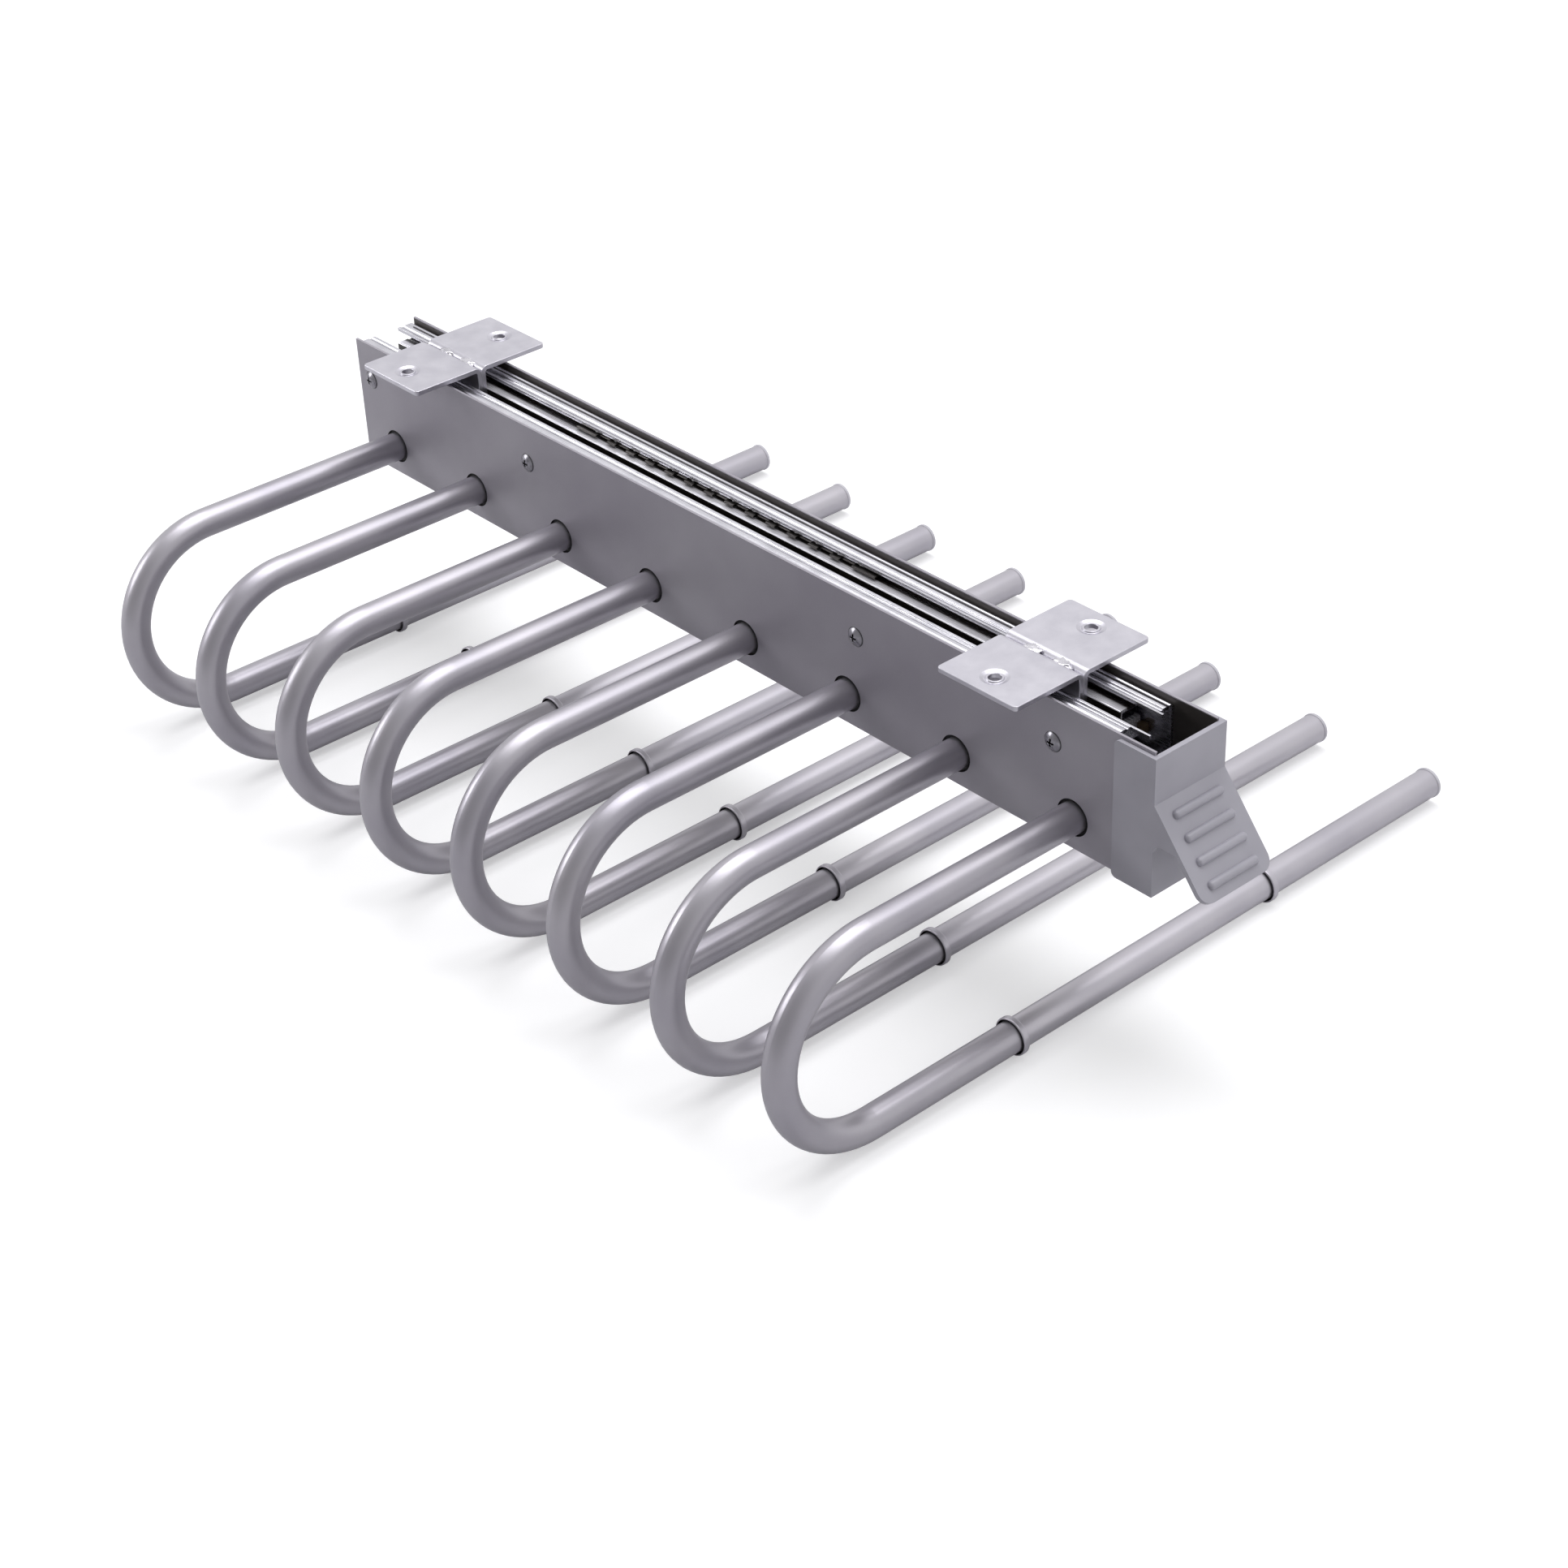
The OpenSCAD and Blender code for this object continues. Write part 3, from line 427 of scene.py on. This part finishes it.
def softEdged(nodeName, pieceName, radiusMm):
    # The node's own shape with the small edge radii that folding or moulding leaves
    mesh = nodes[nodeName].data.copy()
    build = bmesh.new()
    build.from_mesh(mesh)
    bmesh.ops.remove_doubles(build, verts=build.verts, dist=edges["mergeMm"] * mm)
    bmesh.ops.dissolve_limit(build, angle_limit=math.radians(edges["flatDeg"]), verts=build.verts,
                             edges=build.edges)
    for face in build.faces:
        face.smooth = True
    build.to_mesh(mesh)
    build.free()
    if "custom_normal" in mesh.attributes:
        mesh.attributes.remove(mesh.attributes["custom_normal"])
    mesh.set_sharp_from_angle(angle=math.radians(edges["sharpDeg"]))
    piece = addPiece(pieceName, mesh, nodeSlots[nodeName], nodeBodies[nodeName], [nodeName])
    bevel = piece.modifiers.new("edges", "BEVEL")
    bevel.width = radiusMm * mm
    bevel.segments = edges["segments"]
    bevel.limit_method = "ANGLE"
    bevel.angle_limit = math.radians(edges["bevelDeg"])
    weighted = piece.modifiers.new("flatFaces", "WEIGHTED_NORMAL")
    weighted.keep_sharp = True
    weighted.weight = edges["flatWeight"]
    return piece


def markRecesses(mesh, middleZ):
    # The faces inside each screw's cross recess are marked for painted shade in the screw's finish
    places = sorted(vert.co.y for vert in mesh.vertices)
    middles, first = [], places[0]
    for here, after in zip(places, places[1:] + [math.inf]):
        if after - here > screwHead["apartMm"] * mm:
            middles.append((first + here) / 2)
            first = after
    crown = max(abs(vert.co.x) for vert in mesh.vertices)
    marks = []
    for face in mesh.polygons:
        side = min(abs(face.center.y - middle) for middle in middles)
        inside = math.hypot(side, face.center.z - middleZ) < screwHead["recessRadiusMm"] * mm
        deep = crown - abs(face.center.x) > screwHead["recessDepthMm"] * mm
        wall = abs(face.normal.x) < screwHead["recessWall"]
        marks.append(1.0 if inside and (deep or wall) else 0.0)
    mesh.attributes.new("grime", "FLOAT", "FACE").data.foreach_set("value", marks)


for nodeName, radius in edges["radiiMm"].items():
    words = nodeName.split("_")
    piece = softEdged(nodeName, words[0] + "".join(word.capitalize() for word in words[1:]), radius)
    if nodeName.startswith("wall_screws"):
        markRecesses(piece.data, middleOf(nodeName)[2])
print("edges softened:", len(edges["radiiMm"]))


weldLump = {  # lengths in millimetres; each lump lies in the groove between two plates, cut flat at topMm
    "places": (-9, 5.5), "length": 8, "width": 5.2, "height": 3, "depth": 1.3, "topMm": -0.1,
    "unevenMm": 1.3, "uneven": 0.4, "subdivisions": 4,
}


def makeWelds():
    # Short runs of weld metal: uneven lumps that fill the groove between the folds
    build = bmesh.new()
    size = Vector((weldLump["width"], weldLump["length"], weldLump["height"])) * mm
    for nodeName in ("rear_bracket_left", "front_bracket_left"):
        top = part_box(nodeName)[1][2]
        for place in weldLump["places"]:
            middle = Vector((0, middleOf(nodeName)[1] + place * mm, top - weldLump["depth"] * mm))
            made = bmesh.ops.create_icosphere(build, subdivisions=weldLump["subdivisions"], radius=0.5)
            for vert in made["verts"]:
                spot = Vector([vert.co[i] * size[i] for i in range(3)]) + middle
                lump = noise.noise(spot / (weldLump["unevenMm"] * mm)) * weldLump["uneven"]
                vert.co = middle + (spot - middle) * (1 + lump)
                vert.co.z = min(vert.co.z, top + weldLump["topMm"] * mm)
    for face in build.faces:
        face.smooth = True
    mesh = bpy.data.meshes.new("weldLumps")
    build.to_mesh(mesh)
    build.free()
    addPiece("weldLumps", mesh, "weld", "root", ["bracket_welds"])


makeWelds()
print("welds made")


gripRib = {  # lengths in millimetres; the first three place the pull's face, as in the part's source
    "rootY": -239, "rootZ": -23.2, "tiltDeg": 39, "firstDown": 6, "pitch": 8.7, "count": 4,
    "radius": 1.7, "halfLength": 12.1, "segments": 24, "rings": 13,
}


def makeGripRibs():
    # Moulded ribs with round ends, over the plain ribs of the pull
    points, faces = [], []
    tilt = math.radians(gripRib["tiltDeg"])
    reach = gripRib["halfLength"] - gripRib["radius"]
    segments, rings = gripRib["segments"], gripRib["rings"]
    for index in range(gripRib["count"]):
        down = gripRib["firstDown"] + index * gripRib["pitch"]
        middle = Vector((0, gripRib["rootY"] - down * math.sin(tilt),
                         gripRib["rootZ"] - down * math.cos(tilt)))
        tips = len(points)
        points += [middle + Vector((side * gripRib["halfLength"], 0, 0)) for side in (-1, 1)]
        for ring in range(1, rings):  # a ball's rings from left to right, with its halves drawn apart
            polar = math.pi * ring / rings
            along = -gripRib["radius"] * math.cos(polar)
            around = gripRib["radius"] * math.sin(polar)
            for step in range(segments):
                turn = 2 * math.pi * step / segments
                points.append(middle + Vector((along + math.copysign(reach, along), around * math.cos(turn),
                                               around * math.sin(turn))))
        first, last = tips + 2, tips + 2 + (rings - 2) * segments
        for step in range(segments):
            after = (step + 1) % segments
            faces.append((tips, first + after, first + step))
            for ring in range(first, last, segments):
                faces.append((ring + step, ring + after, ring + segments + after, ring + segments + step))
            faces.append((tips + 1, last + step, last + after))
    mesh = bpy.data.meshes.new("gripRibs")
    mesh.from_pydata([point * mm for point in points], [], faces)
    mesh.shade_smooth()
    addPiece("gripRibs", mesh, "cap", "carriage", [])


makeGripRibs()
print("grip ribs made")


# Camera and light

camera = {  # the photograph's view, worked out from the rack's own straight edges and holes
    "focalPx": 3659.56, "framePx": 1932, "sensorMm": 36, "farM": 20,
    "azimuthDeg": 37, "downDeg": 32,
    "turn": (0.0210, -0.0450, -0.0730),  # small turn about an axis in the camera's own frame, radians
    "placeMm": (-630.64, -780.65, 522.82),
}


def makeCamera():
    data = bpy.data.cameras.new("camera")
    data.sensor_width = camera["sensorMm"]
    data.lens = camera["focalPx"] / camera["framePx"] * camera["sensorMm"]
    data.clip_end = camera["farM"]
    azimuth, down = math.radians(camera["azimuthDeg"]), math.radians(camera["downDeg"])
    forward = Vector((math.sin(azimuth) * math.cos(down), math.cos(azimuth) * math.cos(down),
                      -math.sin(down)))
    right = forward.cross(Vector((0, 0, 1))).normalized()
    base = Matrix((right, forward.cross(right), forward))  # rows: right, down, forward
    turn = Vector(camera["turn"])
    turned = Matrix.Rotation(turn.length, 3, turn) @ base
    axes = Matrix((turned[0], -turned[1], -turned[2])).transposed().to_4x4()
    made = bpy.data.objects.new("camera", data)
    bpy.context.scene.collection.objects.link(made)
    made.matrix_world = Matrix.Translation(Vector(camera["placeMm"]) * mm) @ axes
    bpy.context.scene.camera = made


lights = {  # metres and watts; the plates mirror only part of the front light, or they would turn plain white
    "top": {"place": (0.25, 0.05, 1.5), "size": (1.8, 0.9), "power": 20},
    "front": {"place": (0.9, -1.3, 0.75), "size": (2.2, 1.6), "power": 9, "mirrored": False},
    "frontSheen": {"place": (0.9, -1.3, 0.75), "size": (2.2, 1.6), "power": 6.5},
    "left": {"place": (-0.8, 1.0, 0.4), "size": (0.5, 0.5), "power": 5},
}
lightsAim = (0, 0, -0.07)  # the middle of the rack


def makeLights():
    for name, light in lights.items():
        data = bpy.data.lights.new(name, "AREA")
        data.shape = "RECTANGLE"
        data.size, data.size_y = light["size"]
        data.energy = light["power"]
        made = bpy.data.objects.new(name, data)
        bpy.context.scene.collection.objects.link(made)
        made.location = light["place"]
        made.rotation_euler = (Vector(lightsAim) - made.location).to_track_quat("-Z", "Y").to_euler()
        made.visible_glossy = light.get("mirrored", True)


surround = {
    "sky": "#FFFFFF", "skyLight": 0.42, "skyInMetal": 1.0,  # its strength as light, and as metal mirrors it
    "darkSide": 0.45, "brightensX": (-0.9, 0.2),  # the sky is darker to the left
    "floor": "#DCDCDE", "floorGlow": 0.38, "floorGapMm": 0.3, "floorHalfM": 6,
    "fadeM": (0.7, 2.0),  # between these distances the floor turns as white as the sky
}


def makeWorld():
    world = bpy.data.worlds.new("studio")
    world.use_nodes = True
    tree = world.node_tree
    tree.nodes.clear()
    path = addNode(tree, "LightPath")
    seen = addNode(tree, "Math", {"operation": "MAXIMUM"},
                   {0: path.outputs["Is Camera Ray"], 1: path.outputs["Is Transmission Ray"]})
    towards = addNode(tree, "TexCoord")
    parts = addNode(tree, "SeparateXYZ", links={0: towards.outputs["Generated"]})
    darkest, brightest = surround["brightensX"]
    side = addNode(tree, "MapRange", {"interpolation_type": "SMOOTHSTEP", "From Min": darkest,
                                      "From Max": brightest, "To Min": surround["darkSide"]},
                   {"Value": parts.outputs["X"]})
    level = addNode(tree, "MapRange", {"To Min": surround["skyLight"], "To Max": surround["skyInMetal"]},
                    {"Value": path.outputs["Is Glossy Ray"]})
    shaded = addNode(tree, "Math", {"operation": "MULTIPLY"}, {0: side, 1: level})
    strength = addNode(tree, "MapRange", links={"Value": seen, "To Min": shaded})
    sky = addNode(tree, "Background", {"Color": toLinear(surround["sky"])}, {"Strength": strength})
    addNode(tree, "OutputWorld", links={"Surface": sky})
    bpy.context.scene.world = world


def makeFloor():
    low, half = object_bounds()[0][2] - surround["floorGapMm"] * mm, surround["floorHalfM"]
    mesh = bpy.data.meshes.new("floor")
    corners = [(-half, -half, low), (half, -half, low), (half, half, low), (-half, half, low)]
    mesh.from_pydata(corners, [], [(0, 1, 2, 3)])
    floor = bpy.data.objects.new("floor", mesh)
    bpy.context.scene.collection.objects.link(floor)
    material = bpy.data.materials.new("paleFloor")
    material.use_nodes = True
    tree = material.node_tree
    tree.nodes.clear()
    path = addNode(tree, "LightPath")
    where = addNode(tree, "TexCoord")
    away = addNode(tree, "VectorMath", {"operation": "LENGTH"}, {0: where.outputs["Object"]})
    near, far = surround["fadeM"]
    faded = addNode(tree, "MapRange", {"From Min": near, "From Max": far, "To Min": surround["floorGlow"]},
                    {"Value": away.outputs["Value"]})
    strength = addNode(tree, "Math", {"operation": "MULTIPLY"}, {0: faded, 1: path.outputs["Is Camera Ray"]})
    matt = addNode(tree, "BsdfDiffuse", {"Color": toLinear(surround["floor"])})
    glow = addNode(tree, "Emission", {"Color": toLinear(surround["sky"])}, {"Strength": strength})
    both = addNode(tree, "AddShader", links={0: matt, 1: glow})
    addNode(tree, "OutputMaterial", links={"Surface": both})
    mesh.materials.append(material)


makeCamera()
makeLights()
makeWorld()
makeFloor()
bpy.context.scene.view_settings.view_transform = "Standard"
print("camera, lights and floor placed")
